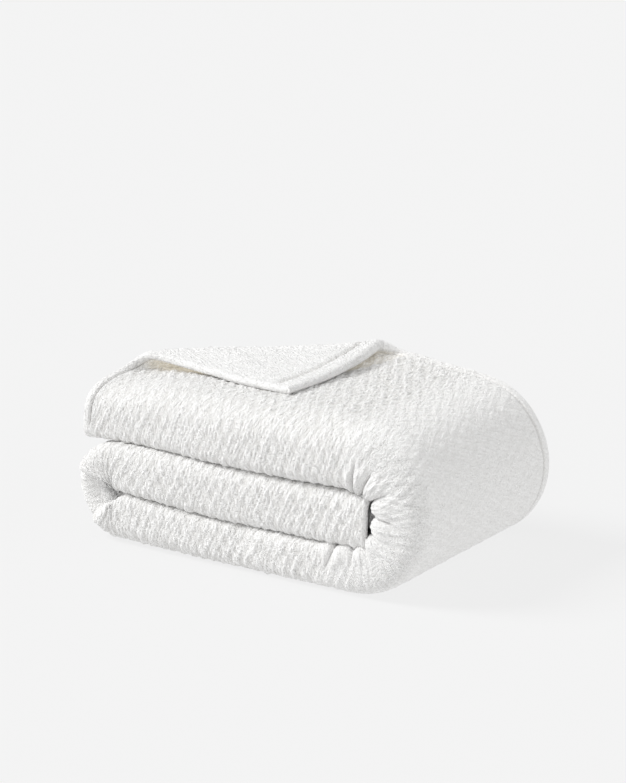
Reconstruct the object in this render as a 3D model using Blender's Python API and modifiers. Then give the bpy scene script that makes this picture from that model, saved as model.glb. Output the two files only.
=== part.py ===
"""A weighted blanket, folded, as one solid cloth.

The cloth is folded in half twice along its length, which makes a strip of four plies: an outer C and an inner C that
share one fold at the back. The strip is then wound in one and a half turns: the middle layer, the left bend, the
bottom layer, the right wrap and the top layer. The back left corner of the topmost ply is turned over.

Sizes are in millimetres until the mesh is made. X runs along the strip, Y from front to back, Z up. A place on the
cloth is s along the strip, which grows by one for each stretch, and t across it, which grows by one for each run.
"""

import math

import bmesh
import bpy
import numpy as np

MM = 0.001

# Driving sizes of the folded stack
WIDTH = 516.0
DEPTH = 311.0
LAYER_BOTTOM = 56.5
LAYER_MIDDLE = 68.0
LAYER_TOP = 83.0
CLEARANCE = 1.2  # kept by each layer on the side that meets the next one

STACK = LAYER_BOTTOM + LAYER_MIDDLE + LAYER_TOP
WRAP_RADIUS = STACK / 2
WRAP_X = WIDTH / 2 - WRAP_RADIUS
WRAP_INNER = 29.0  # from the wrap's centre to its innermost ply, at mid height
BEND_REACH = 67.0
BEND_X = -WIDTH / 2 + BEND_REACH
FRONT = -DEPTH / 2
BACK = DEPTH / 2

MIDDLE_END_X = 170.0
TOP_END_X = -244.0
FINE_LENGTH = 288.0  # the length at the strip's last end that holds the turned corner
END_STAGGER = 9.0  # how far the inner plies stand out past the outer one at the strip's last end
DROOP, DROOP_X, DROOP_POWER = 14.0, -90.0, 1.4  # how much thinner the top layer gets at its end, and from where
HEM_STAGGER = 6.0
SWAY = 1.1  # height of the soft unevenness

# One row for each end of a stretch of the strip, in the order in which the cloth runs: stretch up to here, steps in
# it, cloth thickness, length of the outer fold's upper half, of its lower half, how far its front is set back
PLACES = (
    ("start", 0, 14.0, 32.0, 30.0, 3.0),
    ("middle", 4, 14.0, 30.0, 28.0, 0.0),
    ("bend", 10, 12.0, 25.0, 24.0, 0.0),
    ("bottom", 6, 12.0, 27.0, 30.0, 0.0),
    ("wrap", 20, 15.0, 44.0, 32.0, 2.0),
    ("top", 4, 15.0, 56.0, 32.0, 2.0),
    ("top end", 18, 11.0, 60.0, 34.0, 17.0),
)
CLOTH, NOSE_OUT, NOSE_IN, SET_BACK = 2, 3, 4, 5
TOP, END = 4, 6  # where the top layer begins, and the strip's last end
NOSE_POWER = 2.5  # 2 would make each front fold half an ellipse; more makes it squarer

# One row for each run of the section across the strip, from the outer hem inwards: name, steps in it
RUNS = (
    ("outer leg", 18),
    ("outer nose", 10),
    ("inner leg", 3),
    ("back fold", 3),
    ("lower leg", 2),
    ("inner nose", 3),
    ("upper leg", 2),
)
INNER_NOSE_GAP = 8.0
HEM_ALONG, HEM_ACROSS, HEM_THINNING = 0.018, 0.025, 0.5  # the rounded edge's share of a stretch, of a run, of the cloth

# Gathers of the front fold round the wrap: angle round the wrap's centre, half width in degrees, height
GATHERS = (
    (-104.0, 8.0, 8.0),
    (-84.0, 7.0, 9.0),
    (-62.0, 7.0, 9.0),
    (-38.0, 8.0, 9.0),
    (-12.0, 11.0, 9.0),
    (24.0, 13.0, 10.0),
    (60.0, 12.0, 8.0),
)
GATHER_RADIUS, GATHER_SPREAD, GATHER_SINK = 42.0, 15.0, 3.0
GATHER_MIDDLE, GATHER_REACH, GATHER_FADE = -20.0, 92.0, 5.0

# The hollow in the front of the left bend: angles of its edges, depth, how far it takes to deepen from either end
HOLLOW_FROM, HOLLOW_TO, HOLLOW_DEPTH = 156.0, 224.0, 26.0
HOLLOW_INSIDE, HOLLOW_LIP = 32.0, 13.0
# The dimple in the bottom fold: place, radius, depth
DIMPLE_X, DIMPLE_Z, DIMPLE_RADIUS, DIMPLE_DEPTH = 0.0, 46.0, 16.0, 5.0

# The turned corner. Its places are distances on the topmost ply: along the cloth from the strip's end, and across it
# from the back hem. The fold starts low on the front fold, runs up beside the end, bends and crosses to the back hem.
FOLD_START = (2.0, 318.0)
FOLD_BEND = (11.0, 204.0)
FOLD_FINISH = (288.0, 0.0)
FOLD_ROUND = (0.42, 0.16)  # the shares of its two straight runs that its bend takes up
FLAP_TIP = (283.0, 216.0)
CORNER_REACH = 0.88  # the share of the corner's distance from the fold that is left after the turn
PULL_FROM, PULL_OVER = 0.2, 0.25  # the share of the fold from which the flap is pulled towards its tip
# One row for each place along the fold, from its start: share of its length, rise before the fold, distance over
# which it rises, radius of the fold, angle at which the flap comes down
FOLD_SHAPE = (
    (0.00, 0.5, 14.0, 7.0, 10.0),
    (0.20, 2.0, 20.0, 9.0, 10.0),
    (0.32, 2.5, 26.0, 11.0, 12.0),
    (0.45, 1.5, 28.0, 10.5, 12.0),
    (0.60, 1.0, 24.0, 9.0, 10.0),
    (0.80, 4.0, 40.0, 10.0, 10.0),
    (1.00, 9.0, 56.0, 9.5, 12.0),
)
RISE, RISE_RUN, FOLD_RADIUS, DOWN_ANGLE = 1, 2, 3, 4
FLAP_GAP = 1.5


def eased(s, column):
    """A column of PLACES at s, eased from one place to the next."""
    values = np.array([row[column] for row in PLACES])
    i = np.clip(s.astype(int), 0, END - 1)
    f = s - i
    f = f * f * (3 - 2 * f)
    return values[i] * (1 - f) + values[i + 1] * f


def outer_side(s):
    """The strip's outer side at s: x, z, the direction outwards (dx, dz), and the strip's thickness there."""
    stretch = np.clip(s.astype(int), 0, END - 1)
    f = s - stretch
    flat, still = np.ones_like(s), np.zeros_like(s)

    middle = (MIDDLE_END_X + (BEND_X - MIDDLE_END_X) * f, flat * (LAYER_BOTTOM + LAYER_MIDDLE - CLEARANCE))
    middle += (still, flat, flat * (LAYER_MIDDLE - 2 * CLEARANCE))

    turn = math.pi * (0.5 + f)
    dx, dz = np.cos(turn), np.sin(turn)
    reach = 1 / np.hypot(dx / BEND_REACH, dz / np.where(f < 0.5, LAYER_MIDDLE - CLEARANCE, LAYER_BOTTOM))
    bend = (BEND_X + dx * reach, LAYER_BOTTOM + dz * reach, dx, dz, reach - CLEARANCE)

    bottom = (BEND_X + (WRAP_X - BEND_X) * f, still, still, -flat, flat * (LAYER_BOTTOM - CLEARANCE))

    turn = math.pi * (f - 0.5)
    dx, dz = np.cos(turn), np.sin(turn)
    level = WRAP_RADIUS - np.where(f < 0.5, LAYER_BOTTOM, LAYER_TOP) + CLEARANCE
    wrap = (WRAP_X + dx * WRAP_RADIUS, WRAP_RADIUS + dz * WRAP_RADIUS, dx, dz)
    wrap += (WRAP_RADIUS - level - (WRAP_INNER - level) * dx**2,)

    fine_x = TOP_END_X + FINE_LENGTH
    x = np.where(stretch == TOP, WRAP_X + (fine_x - WRAP_X) * f, fine_x - FINE_LENGTH * f)
    lower = DROOP * (np.maximum(0.0, DROOP_X - x) / (DROOP_X - TOP_END_X)) ** DROOP_POWER
    top = (x, STACK - lower, still, flat, LAYER_TOP - CLEARANCE - lower)

    return [np.choose(np.minimum(stretch, TOP), column) for column in zip(middle, bend, bottom, wrap, top)]


def squarish_turn(share, length, height):
    """A quarter of a superellipse from its side (share 0) to its tip (share 1), at even steps of its own length."""
    angles = np.linspace(0.0, math.pi / 2, 33)
    across = length[..., None] * (1 - np.sin(angles) ** (2 / NOSE_POWER))
    up = height[..., None] * np.cos(angles) ** (2 / NOSE_POWER)
    far = np.cumsum(np.hypot(np.diff(across), np.diff(up)), axis=-1)
    far = np.concatenate((np.zeros_like(far[..., :1]), far), axis=-1)
    place = np.clip(share, 0.0, 1.0) * far[..., -1]
    i = np.clip((far <= place[..., None]).sum(axis=-1) - 1, 0, len(angles) - 2)[..., None]
    low, high = (np.take_along_axis(far, i + k, axis=-1)[..., 0] for k in (0, 1))
    f = (place - low) / (high - low)
    turn = []
    for curve in (across, up):
        before, after = (np.take_along_axis(curve, i + k, axis=-1)[..., 0] for k in (0, 1))
        turn.append(before * (1 - f) + after * f)
    return turn[0], turn[1], far[..., -1]


def section_point(s, t, thick):
    """The cloth's middle across a strip of the given thickness: y, and the height above the strip's inner side."""
    cloth = eased(s, CLOTH)
    nose_out, nose_in = eased(s, NOSE_OUT), eased(s, NOSE_IN)
    front = FRONT + eased(s, SET_BACK) + cloth / 2
    back = BACK - cloth / 2
    pitch = (thick - cloth) / 3
    low = cloth / 2
    run = np.clip(t.astype(int), 0, len(RUNS) - 1)
    f = t - run

    outer_leg = (back + (front + nose_out - back) * f, low + 3 * pitch)
    upper, lower = squarish_turn(2 * f, nose_out, 1.5 * pitch), squarish_turn(2 - 2 * f, nose_in, 1.5 * pitch)
    nose_height = low + 1.5 * pitch + np.where(f < 0.5, upper[1], -lower[1])
    outer_nose = (front + np.where(f < 0.5, upper[0], lower[0]), nose_height)
    fold_y = back - pitch / 2
    inner_leg = (front + nose_in + (fold_y - front - nose_in) * f, low)
    up = pitch / 2 * (1 - np.cos(math.pi * f))
    round_off = pitch / 2 * np.sin(math.pi * f)
    back_fold = (fold_y + round_off, low + up)
    nose_y = front + cloth + INNER_NOSE_GAP + pitch / 2
    lower_leg = (fold_y + (nose_y - fold_y) * f, low + pitch)
    inner_nose = (nose_y - round_off, low + pitch + up)
    upper_leg = (nose_y + (back - HEM_STAGGER - nose_y) * f, low + 2 * pitch)

    runs = (outer_leg, outer_nose, inner_leg, back_fold, lower_leg, inner_nose, upper_leg)
    return [np.choose(run, column) for column in zip(*runs)]


def front_relief(x, z, s):
    """How far the front folds stand back: the left bend's hollow, the bottom dimple, less the wrap's gathers."""
    reach = np.hypot(x - BEND_X, z - LAYER_BOTTOM)
    angle = np.degrees(np.arctan2(z - LAYER_BOTTOM, x - BEND_X)) % 360
    across = (2 * angle - HOLLOW_FROM - HOLLOW_TO) / (HOLLOW_TO - HOLLOW_FROM)
    along = np.clip(reach / HOLLOW_INSIDE, 0, 1) * np.clip((BEND_REACH - reach) / HOLLOW_LIP, 0, 1)
    hollow = HOLLOW_DEPTH * np.maximum(0.0, 1 - across**2) * along
    dimple = DIMPLE_DEPTH * np.exp(-((x - DIMPLE_X) ** 2 + (z - DIMPLE_Z) ** 2) / DIMPLE_RADIUS**2)

    radius = np.hypot(x - WRAP_X, z - WRAP_RADIUS)
    angle = np.degrees(np.arctan2(z - WRAP_RADIUS, x - WRAP_X))
    angle = np.where(angle > 110, angle - 360, angle)
    near = np.exp(-(((radius - GATHER_RADIUS) / GATHER_SPREAD) ** 2))
    inside = 1 / (1 + np.exp((np.abs(angle - GATHER_MIDDLE) - GATHER_REACH) / GATHER_FADE))
    height = sum(high * np.exp(-(((angle - place) / half) ** 2)) for place, half, high in GATHERS)
    gathers = (GATHER_SINK * inside - height) * near

    on_bend, on_bottom = (s > 0.8) & (s < 2.6), (s > 2) & (s < 3)
    return hollow * on_bend + dimple * on_bottom + gathers * (s > 2.6)


def folded_point(s, t):
    """The cloth's middle with its main folds but without the turned corner, as (x, y, z)."""
    x, z, dx, dz, thick = outer_side(s)
    y, height = section_point(s, t, thick)
    depth = thick - height
    x, z = x - dx * depth, z - dz * depth
    x = x - END_STAGGER * np.clip((s - TOP) / (END - TOP), 0, 1) ** 4 * depth / thick
    y = y + front_relief(x, z, s) * ((t > 1) & (t < 2))
    return np.stack((x, y, z), axis=-1)


TOP_LENGTH = WRAP_X - TOP_END_X
END_CLOTH = PLACES[END][CLOTH]
LEG = BACK - FRONT - PLACES[END][SET_BACK] - END_CLOTH - PLACES[END][NOSE_OUT]
HALF_NOSE = np.array((LAYER_TOP - CLEARANCE - DROOP - END_CLOTH) / 2)
NOSE = 2 * float(squarish_turn(np.zeros(()), np.array(PLACES[END][NOSE_OUT]), HALF_NOSE)[2])


def on_flat_cloth(s, t):
    """Distances on the topmost ply in millimetres: along the cloth from its end, and across it from the back hem."""
    along = outer_side(s)[0] - TOP_END_X
    return np.stack((along, np.where(t <= 1, t * LEG, LEG + (t - 1) * NOSE)), axis=-1)


def folded_from_flat(along, across):
    """The cloth's middle at distances on the topmost ply, the reverse of on_flat_cloth; it goes on past the hems."""
    t = np.where(across <= LEG, across / LEG, 1 + (across - LEG) / NOSE)
    far = TOP + (TOP_LENGTH - along) / (TOP_LENGTH - FINE_LENGTH)
    s = np.where(along > FINE_LENGTH, far, END - along / FINE_LENGTH)
    point = folded_point(np.minimum(s, END), np.maximum(t, 0.0))
    point[..., 0] -= np.maximum(s - END, 0.0) * FINE_LENGTH
    point[..., 1] -= np.minimum(across, 0.0)
    return point


def on_top(q):
    """The middle of the topmost ply at the distances q, and the direction out of its outer face."""
    step = 1.0
    along, across = q[..., 0], q[..., 1]
    du = folded_from_flat(along + step, across) - folded_from_flat(along - step, across)
    dv = folded_from_flat(along, across + step) - folded_from_flat(along, across - step)
    out = np.cross(dv, du)
    return folded_from_flat(along, across), out / np.linalg.norm(out, axis=-1, keepdims=True)


def fold_curve(count=160):
    """The fold on the flat ply, two straight runs joined by a parabola: even places, their directions, its length."""
    start, bend, finish = (np.array(p) for p in (FOLD_START, FOLD_BEND, FOLD_FINISH))
    first = bend + (start - bend) * FOLD_ROUND[0]
    second = bend + (finish - bend) * FOLD_ROUND[1]
    f = np.linspace(0.0, 1.0, 60)[:, None]
    corner = first * (1 - f) ** 2 + bend * 2 * f * (1 - f) + second * f**2
    rough = np.vstack((start, corner, finish))
    far = np.concatenate(([0.0], np.cumsum(np.hypot(*np.diff(rough, axis=0).T))))
    even = np.linspace(0.0, far[-1], count)
    places = np.stack([np.interp(even, far, rough[:, k]) for k in (0, 1)], axis=1)
    along = np.gradient(places, axis=0)
    return places, along / np.linalg.norm(along, axis=1, keepdims=True), far[-1]


FOLD, FOLD_ALONG, FOLD_LENGTH = fold_curve()


def near_fold(q):
    """Where q lies from the fold: share of the fold's length, nearest point, direction outwards, distance beyond."""
    last = len(FOLD) - 1
    i = np.argmin(((q[..., None, :] - FOLD) ** 2).sum(axis=-1), axis=-1)
    slide = ((q - FOLD[i]) * FOLD_ALONG[i]).sum(axis=-1)
    share = i / last + slide / FOLD_LENGTH
    even = np.linspace(0.0, 1.0, last + 1)
    along = np.stack([np.interp(share, even, FOLD_ALONG[:, k]) for k in (0, 1)], axis=-1)
    past = (share - np.clip(share, 0.0, 1.0))[..., None] * FOLD_LENGTH
    foot = np.stack([np.interp(share, even, FOLD[:, k]) for k in (0, 1)], axis=-1) + along * past
    out = np.stack((along[..., 1], -along[..., 0]), axis=-1)
    return np.clip(share, 0.0, 1.0), foot, out, ((q - foot) * out).sum(axis=-1)


_, CORNER_FOOT, _, CORNER_BEYOND = near_fold(np.zeros(2))
FLAP_PULL = (np.array(FLAP_TIP) - CORNER_FOOT) / (CORNER_BEYOND * CORNER_REACH)


def flap_profile(beyond, share, cloth):
    """The curve of the turned cloth square to its fold: reach past the fold, and height above the ply.

    It rises on a parabola, turns on a circle and comes down on a second parabola until it lies on the ply.
    """
    shares = [row[0] for row in FOLD_SHAPE]
    columns = (RISE, RISE_RUN, FOLD_RADIUS, DOWN_ANGLE)
    rise, run, radius, down = (np.interp(share, shares, [row[k] for row in FOLD_SHAPE]) for k in columns)
    start = np.arctan(2 * rise / run)
    end = math.pi + np.radians(down)
    angle = start + np.clip(beyond / radius, 0.0, end - start)
    reach = radius * (np.sin(angle) - np.sin(start))
    high = rise * np.clip(1 + beyond / run, 0.0, 1.0) ** 2 + radius * (np.cos(start) - np.cos(angle))
    rest = cloth + FLAP_GAP
    after = beyond - radius * (end - start)
    part = np.clip(after * np.tan(np.radians(down)) / (2 * (high - rest)), 0.0, 1.0)
    height = np.where(after > 0, rest + (high - rest) * (1 - part) ** 2, high)
    return np.where(beyond < 0, beyond, reach - np.maximum(after, 0.0)), height


def cloth_point(s, t):
    """The cloth's middle with every fold, the turned corner as well."""
    flat = on_flat_cloth(s, t)
    share, foot, out, beyond = near_fold(flat)
    reach, height = flap_profile(beyond, share, eased(s, CLOTH))
    pull = np.clip((share - PULL_FROM) / PULL_OVER, 0.0, 1.0)[..., None]
    back = FLAP_PULL * pull - out * (1 - pull)
    place = foot + np.maximum(reach, 0.0)[..., None] * out + np.maximum(-reach, 0.0)[..., None] * back
    place = np.where(beyond[..., None] > 0, place, flat)
    point, up = on_top(place)
    turned = (s >= TOP) & (t < 2) & (height > 0)
    return np.where(turned[..., None], point + up * height[..., None], folded_point(s, t))


def swayed(points):
    """The soft unevenness of the whole stack: slow waves that grow from nothing at the top of the bottom layer."""
    x, y, z = points[..., 0], points[..., 1], points[..., 2]
    up = np.maximum(0.0, z - LAYER_BOTTOM) / (STACK - LAYER_BOTTOM)
    lift = SWAY * up * (np.sin(x / 61.0 + 0.6) * np.sin(y / 74.0 + 1.1) - 0.4 * np.sin(x / 33.0 - y / 47.0))
    push = 0.6 * SWAY * (np.sin(x / 52.0 + z / 29.0) - 0.5 * np.sin(x / 23.0 - z / 17.0)) * np.minimum(1.0, z / 20.0)
    return np.stack((x, y + push, z + lift), axis=-1)


def places_of(rows, hem):
    """Places along a table's stretches or runs, evenly spaced in each, and one more just inside either hem."""
    places = [0.0]
    for i, row in enumerate(rows):
        places += [i + (k + 1) / row[1] for k in range(row[1])]
    return np.array(places[:1] + [hem] + places[1:-1] + [places[-1] - hem] + places[-1:])


def cloth_surface():
    """The cloth's middle as an open grid, and each point's thickness, less at the hems."""
    ss, tt = places_of(PLACES[1:], HEM_ALONG), places_of(RUNS, HEM_ACROSS)
    s, t = np.meshgrid(ss, tt, indexing="ij")
    points = swayed(cloth_point(s, t))
    thickness = eased(s, CLOTH)
    thickness[[0, -1], :] *= HEM_THINNING
    thickness[:, [0, -1]] *= HEM_THINNING
    return points * MM, thickness * MM


def white_cotton():
    """Plain white woven cotton."""
    material = bpy.data.materials.new("white_cotton")
    material.use_nodes = True
    shader = material.node_tree.nodes["Principled BSDF"]
    shader.inputs["Base Color"].default_value = (0.86, 0.85, 0.83, 1.0)
    shader.inputs["Roughness"].default_value = 0.95
    shader.inputs["Metallic"].default_value = 0.0
    return material


def blanket_object(collection):
    """The open grid laid on the cloth's middle, given its thickness by a Solidify modifier to both sides."""
    points, thickness = cloth_surface()
    rows, columns = thickness.shape
    bm = bmesh.new()
    bmesh.ops.create_grid(bm, x_segments=columns - 1, y_segments=rows - 1)
    bmesh.ops.triangulate(bm, faces=bm.faces, quad_method="FIXED")
    bm.verts.ensure_lookup_table()
    for vert, point in zip(bm.verts, points.reshape(-1, 3)):
        vert.co = point
    mesh = bpy.data.meshes.new("blanket")
    bm.to_mesh(mesh)
    bm.free()
    mesh.materials.append(white_cotton())
    mesh.shade_smooth()
    blanket = bpy.data.objects.new("blanket", mesh)
    collection.objects.link(blanket)
    group = blanket.vertex_groups.new(name="thickness")
    for i, share in enumerate((thickness / thickness.max()).reshape(-1).tolist()):
        group.add([i], share, "REPLACE")
    solidify = blanket.modifiers.new("thickness", "SOLIDIFY")
    solidify.thickness = float(thickness.max())
    solidify.offset = 0.0
    solidify.vertex_group = group.name
    return blanket


def main():
    for thing in list(bpy.data.objects):
        bpy.data.objects.remove(thing, do_unlink=True)
    collection = bpy.data.collections.new("weighted_blanket")
    bpy.context.scene.collection.children.link(collection)
    blanket_object(collection)


main()
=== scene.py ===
"""A weighted blanket of puffed white cotton, folded, wound and laid flat, with one corner turned back.

The blanket is one cloth. It is folded in half twice along its length into a strip of four plies, and the
strip is wound in one and a half turns. Here it is made as closed sheets that meet at cuts across the strip.
Each sheet is a surface of two parameters: s runs along the strip and grows by one for each stretch, t runs
across it and grows by one for each run. The face that shows is puffed; its reverse is plain and nubby, with
stitched hems.

Sizes are in millimetres until a mesh is made.
"""

import math

import bpy
import numpy as np
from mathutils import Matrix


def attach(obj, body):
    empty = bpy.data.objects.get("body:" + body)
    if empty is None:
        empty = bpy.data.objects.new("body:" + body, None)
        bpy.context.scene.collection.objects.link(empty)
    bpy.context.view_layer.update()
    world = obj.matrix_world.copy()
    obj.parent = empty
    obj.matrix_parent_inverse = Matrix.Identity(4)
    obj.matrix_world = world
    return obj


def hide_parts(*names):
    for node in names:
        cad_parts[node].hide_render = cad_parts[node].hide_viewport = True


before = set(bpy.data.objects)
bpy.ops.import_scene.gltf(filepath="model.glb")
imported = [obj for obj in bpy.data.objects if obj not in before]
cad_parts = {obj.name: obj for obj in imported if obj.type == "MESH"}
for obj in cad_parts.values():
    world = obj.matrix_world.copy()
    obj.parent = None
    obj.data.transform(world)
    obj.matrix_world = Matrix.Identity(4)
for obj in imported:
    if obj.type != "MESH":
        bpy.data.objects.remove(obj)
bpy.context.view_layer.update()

MM = 0.001

# Driving sizes of the folded stack
WIDTH = 516.0
DEPTH = 311.0
LAYER_BOTTOM = 56.5
LAYER_MIDDLE = 68.0
LAYER_TOP = 83.0
# Left by each layer on the side that meets the next one; below nothing, they are pressed together
CLEARANCE = -1.3

STACK = LAYER_BOTTOM + LAYER_MIDDLE + LAYER_TOP
WRAP_RADIUS = STACK / 2
WRAP_X = WIDTH / 2 - WRAP_RADIUS
WRAP_INNER = 29.0  # from the wrap's centre to its innermost ply, at mid height
BEND_REACH = 67.0
BEND_X = -WIDTH / 2 + BEND_REACH
FRONT = -DEPTH / 2
BACK = DEPTH / 2

MIDDLE_END_X = 177.0
TOP_END_X = -244.0
FINE_LENGTH = 288.0  # the length at the strip's last end that holds the turned corner
# How far the inner plies stand out past the outer one at the strip's last end, and how suddenly
END_STAGGER, STAGGER_POWER = 9.0, 4
# How much thinner the top layer gets at its end, from where, and how suddenly
DROOP, DROOP_X, DROOP_POWER = 14.0, -90.0, 1.4
HEM_STAGGER = 6.0
FLOOR = 0.15  # the lowest that the cloth lies
# The soft unevenness: height of its waves, share of that in and out, height over which that share comes
SWAY, SWAY_PUSH, SWAY_OVER = 1.1, 0.6, 20.0
SWELL_X, SWELL_Y = (61.0, 0.6), (74.0, 1.1)  # its main swell upwards: length and phase along x and along y
# The other waves up, and those in and out: length along x, length along y or z, phase, height
LIFT_WAVES = ((33.0, -47.0, 0.0, -0.4),)
PUSH_WAVES = ((52.0, 29.0, 0.0, 1.0), (23.0, -17.0, 0.0, -0.5))

# One row for each end of a stretch of the strip, in the order in which the cloth runs: stretch up to here,
# cell length along the strip, cloth thickness, length of the outer fold's upper half, of its lower half,
# how far its front is set back, how square its upper half is
PLACES = (
    ("start", 0.0, 14.0, 24.0, 16.0, 3.0, 4.0),
    ("middle", 1.3, 14.0, 22.0, 15.0, 0.0, 4.0),
    ("bend", 1.3, 12.0, 22.0, 17.0, 0.0, 3.0),
    ("bottom", 1.4, 12.0, 22.0, 18.0, 0.0, 3.6),
    ("wrap", 1.3, 15.0, 44.0, 24.0, 2.0, 2.5),
    ("top", 1.3, 15.0, 56.0, 17.0, 2.0, 2.5),
    ("top end", 1.3, 11.0, 60.0, 18.0, 17.0, 2.5),
)
CELL, CLOTH, NOSE_OUT, NOSE_IN, SET_BACK, POWER_OUT = 1, 2, 3, 4, 5, 6
TOP, END = 4, 6  # where the top layer begins, and the strip's last end
POWER_IN = 4.8  # how square the lower halves are: 2 would make a fold half an ellipse, more makes it squarer

# One row for each run across the strip, from the outer hem inwards: name, usual length, cell length
RUNS = (
    ("outer leg", 245.0, 2.6),
    ("outer nose", 118.0, 2.0),
    ("inner leg", 260.0, 14.0),
    ("back fold", 34.0, 2.8),
    ("lower leg", 265.0, 22.0),
    ("inner nose", 34.0, 6.0),
    ("upper leg", 260.0, 18.0),
)
OUTER_RUNS = 2  # the runs before this one are the outer ply, which shows
INNER_NOSE_GAP = 8.0

# The creases between the gathers of the fold round the wrap: angle round its centre, radius each reaches
GATHERS = (
    (-132.0, 52.0),
    (-112.0, 74.0),
    (-84.0, 58.0),
    (-62.0, 56.0),
    (-36.0, 56.0),
    (-6.0, 58.0),
    (28.0, 58.0),
    (58.0, 60.0),
    (82.0, 52.0),
    (101.0, 44.0),
)
GATHER_HEIGHT, GATHER_SINK, GATHER_FADE = 9.5, 0.6, 22.0
GATHER_END = 8.0  # the angle over which the first and the last pillow fade
GATHER_LAST = 130.0  # angles past this one are counted from the other side

# The wedge-shaped hollow in the front of the left bend: place of its apex, angles of its edges round it and
# how far each takes to deepen, depth, and the distances from its apex over which it gets deep
HOLLOW_X, HOLLOW_FROM, HOLLOW_TO, HOLLOW_EDGES, HOLLOW_DEPTH = -167.0, 162.0, 213.0, (2.5, 6.0), 32.0
HOLLOW_START, HOLLOW_INSIDE = 5.0, 21.0
HOLLOW_SLOPE = 0.62  # the share of the way in from the outer ply over which its floor goes down
HOLLOW_ON, CALM_ON = (0.8, 2.6), (0.8, 2.2)  # the range of s that it can reach, and where its cloth is calm
CALM_DEPTH = 12.0  # the depth from which that cloth is wholly calm
RELIEF_FADE = (1.85, 1.99)  # over these t hollow and dimple fade, where the fold turns in to the inner leg
# How much higher the top of the bottom layer gets towards the left bend, and between which places
LEFT_LIFT, LIFT_FROM, LIFT_TO, LIFT_POWER = 10.0, 40.0, 181.0, 1.3
# The dimple in the bottom fold: place, radius, depth
DIMPLE_X, DIMPLE_Z, DIMPLE_RADIUS, DIMPLE_DEPTH = 0.0, 46.0, 16.0, 5.0
DIMPLE_ON = (2.0, 3.0)  # the range of s that it can reach

# The turned corner. Its places are distances on the topmost ply: along the cloth from the strip's end, and
# across it from the back hem. The fold starts low on the front fold, runs up beside the end, bends and
# crosses to the back hem.
FOLD_START = (2.0, 318.0)
FOLD_BEND = (11.0, 193.0)
FOLD_FINISH = (308.0, 0.0)
FOLD_ROUND = (0.42, 0.20)  # the shares of its two straight runs that its bend takes up
FLAP_TIP = (289.0, 221.0)
CORNER_REACH = 0.88  # the share of the corner's distance from the fold that is left after the turn
PULL_FROM, PULL_OVER = 0.2, 0.25  # the share of the fold from which the flap is pulled towards its tip
# One row for each place along the fold, from its start: share of its length, rise before the fold, distance
# over which it rises, radius of the fold, angle at which the flap comes down
FOLD_SHAPE = (
    (0.00, 1.0, 14.0, 8.0, 10.0),
    (0.12, 3.5, 18.0, 10.0, 10.0),
    (0.22, 3.5, 22.0, 11.0, 11.0),
    (0.32, 0.5, 26.0, 11.5, 13.0),
    (0.45, 0.0, 28.0, 11.5, 14.0),
    (0.60, 0.0, 26.0, 10.0, 11.0),
    (0.80, 3.0, 40.0, 10.0, 10.0),
    (1.00, 13.0, 84.0, 10.5, 12.0),
)
RISE, RISE_RUN, FOLD_RADIUS, DOWN_ANGLE = 1, 2, 3, 4
FLAP_GAP = -0.4  # between the flap and the ply under it; below nothing, it is pressed into that ply

# Painted light: a glow painted in the turned cloth's hollow, standing in for daylight through the cloth: how
# far, how fast it spreads, where the fold turns, and the shares of the fold over which it comes and goes at
# the front opening
GLOW_REACH, GLOW_SPREAD, FOLD_TURN = 60.0, 0.72, 0.28
GLOW_COMES, GLOW_GOES = (0.24, 0.31), (0.45, 0.7)
# The same at the opening by the back hem: how strong it is, how fast it spreads, where it comes
BACK_GLOW, BACK_SPREAD, BACK_COMES = 0.6, 0.6, (0.66, 0.84)
GLOW_HEM = (4.0, 14.0)  # distances from a hem over which it comes
GLOW_ON_FLAP, GLOW_ON_PLY = (0.0, 6.0), (0.0, 10.0)  # and distances from the edge of what it reaches

# The puffed weave: half the distance between puffs along the strip and across it, and their height; the
# same for the thin ribs that run over them; how much of both is sunk in the cloth
PUFF_U, PUFF_V, PUFF_HEIGHT = 8.0, 14.4, 1.4
RIB_U, RIB_V, RIB_HEIGHT = 2.9, 6.8, 1.25
NUB_U, NUB_V, NUB_HEIGHT = 3.0, 4.8, 1.3  # the same for the nubs of the plain reverse
WEAVE_SINK = 2.0
NUB_SINK = 0.5  # the share of a nub that is sunk
PUFF_FILL, RIB_FILL, NUB_FILL = 0.4, 0.6, 0.5  # how much of the ground between them their foot covers
SWELL_POWER = 0.7  # below 1 a swell is full, with a round top
PUFF_RAISES, RIB_RAISES = 0.7, 1.25  # how far a puff or a rib takes a place out of the valleys
# The shares of weave and fuzz left where the cloth is pulled tight round the wrap
SIDE_WEAVE, SIDE_FUZZ = 0.42, 0.65
ABOVE_FLOOR = (1.0, 9.0)  # over these heights the weave grows from nothing, pressed flat on the floor
# The weave's shares on the flat top and in the hollow, and the yarn's share in the hollow
TOP_WEAVE, HOLLOW_WEAVE, HOLLOW_YARN = 1.3, 0.35, 0.4
WRAP_RIBS, WRAP_YARN = 0.35, 0.35  # the shares of ribs and yarn left on the front fold round the wrap
WRAP_FUZZ, TURN_FUZZ = 0.2, 0.4  # how much more fuzz there is there, and where it turns to the tight side

# Where the cloth changes: ranges of s over which each change comes and goes, and the same of t
TIGHT = ((2.85, 3.0), (3.8, 4.05), (-1.0, 0.0), (1.12, 1.34))
WRAP_FOLD = ((2.8, 3.0), (4.0, 4.12), (1.1, 1.3), (8.0, 9.0))
WRAP_TURN = ((2.9, 3.1), (3.85, 4.05), (1.12, 1.3), (1.4, 1.6))
FLAT_TOP = ((3.9, 4.2), (8.0, 9.0), (-1.0, 0.0), (0.9, 1.1))
GATHERED = ((2.62, 2.75), (8.0, 9.0), (1.15, 1.4), (1.95, 1.995))

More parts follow.
